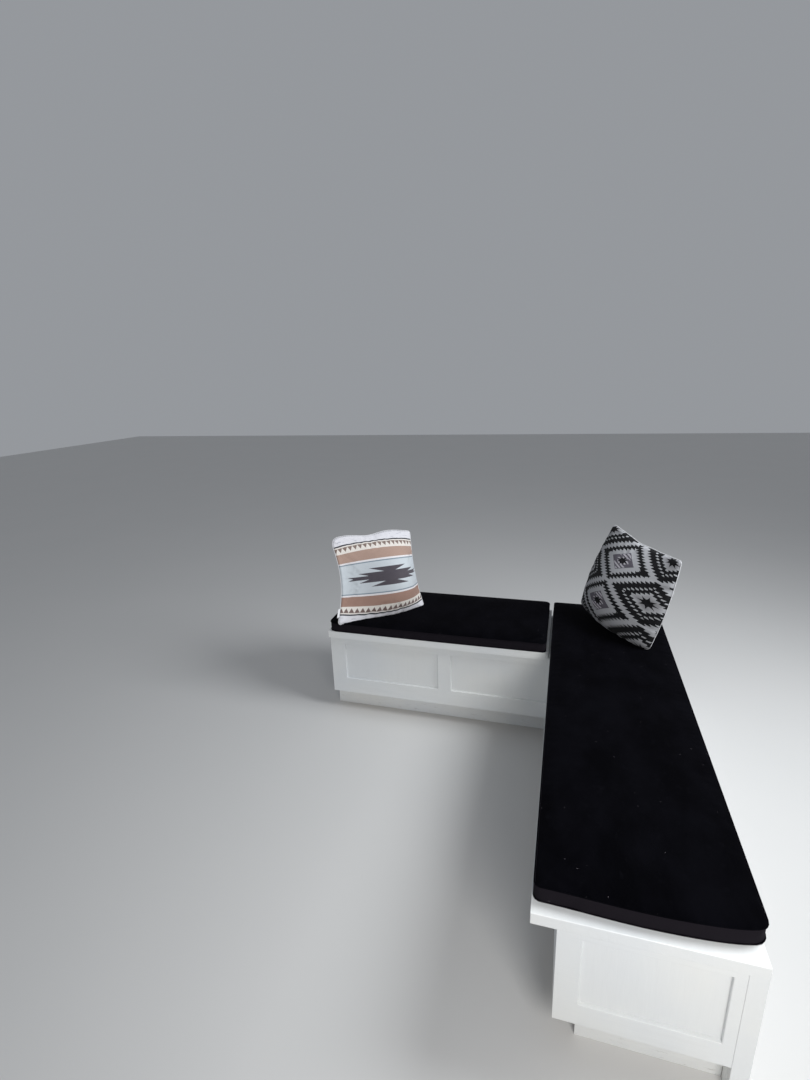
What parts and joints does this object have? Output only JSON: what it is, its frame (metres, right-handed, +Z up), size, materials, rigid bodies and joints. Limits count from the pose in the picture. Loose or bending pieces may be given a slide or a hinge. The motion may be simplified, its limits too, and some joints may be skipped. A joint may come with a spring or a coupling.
{
  "type": "houseboat corner settee",
  "caption": "Built-in corner settee of a houseboat saloon: white panelled locker benches in an L, hinged seat boards, black seat cushions and patterned scatter cushions.",
  "frame": {"origin": "on the floor, at the middle of the settee's outline seen from above", "axes": "+X towards the right wall, +Y towards the back wall, +Z up; the long bench runs along Y at +X, the short one along X at +Y"},
  "size_m": [1.552, 1.74, 0.9107],
  "materials": {
    "white_paint": "satin white paint on board, brushed",
    "birch_ply": "bare plywood",
    "black_velvet": "short dull pile",
    "striped_cotton": "printed plain weave",
    "diamond_cotton": "printed plain weave",
    "hinge_steel": "zinc plated"
  },
  "bodies": {
    "base": {"long_front_plinth": "white_paint", "end_plinth": "white_paint", "long_back_panel": "white_paint", "long_batten": "white_paint", "long_locker_floor": "birch_ply", "long_divider": "birch_ply", "short_plinth": "white_paint", "left_plinth": "white_paint", "left_side": "white_paint", "back_panel": "white_paint", "short_batten": "white_paint", "seat_bearer": "white_paint", "corner_divider": "birch_ply", "short_locker_floor": "birch_ply", "long_front_sheet": "white_paint", "long_front_stile_1": "white_paint", "long_front_stile_2": "white_paint", "long_front_stile_3": "white_paint", "long_front_bottom_rail_1": "white_paint", "long_front_bottom_rail_2": "white_paint", "long_front_top_rail_1": "white_paint", "long_front_top_rail_2": "white_paint", "short_front_sheet": "white_paint", "short_front_stile_1": "white_paint", "short_front_stile_2": "white_paint", "short_front_stile_3": "white_paint", "short_front_bottom_rail_1": "white_paint", "short_front_bottom_rail_2": "white_paint", "short_front_top_rail_1": "white_paint", "short_front_top_rail_2": "white_paint", "end_panel_sheet": "white_paint", "end_panel_stile_1": "white_paint", "end_panel_stile_2": "white_paint", "end_panel_bottom_rail_1": "white_paint", "end_panel_top_rail_1": "white_paint", "filler_strip": "white_paint", "filler_foot": "white_paint", "long_hinge_near_fixed_leaf": "hinge_steel", "long_hinge_middle_fixed_leaf": "hinge_steel", "long_hinge_far_fixed_leaf": "hinge_steel", "short_hinge_left_fixed_leaf": "hinge_steel", "short_hinge_right_fixed_leaf": "hinge_steel"},
    "long_lid": {"long_seat_board": "white_paint", "long_seat_cushion": "black_velvet", "corner_scatter_cushion": "diamond_cotton", "long_hinge_near_moving_leaf": "hinge_steel", "long_hinge_middle_moving_leaf": "hinge_steel", "long_hinge_far_moving_leaf": "hinge_steel"},
    "short_lid": {"short_seat_board": "white_paint", "short_seat_cushion": "black_velvet", "left_scatter_cushion": "striped_cotton", "short_hinge_left_moving_leaf": "hinge_steel", "short_hinge_right_moving_leaf": "hinge_steel"}
  },
  "joints": [
    {"name": "long_lid_hinge", "type": "hinge", "parent": "base", "child": "long_lid", "pos_m": [0.7715, 0, 0.4365], "axis": [0, 1, 0], "range_deg": [0, 80]},
    {"name": "short_lid_hinge", "type": "hinge", "parent": "base", "child": "short_lid", "pos_m": [-0.244, 0.8655, 0.4365], "axis": [-1, 0, 0], "range_deg": [0, 80]}
  ]
}
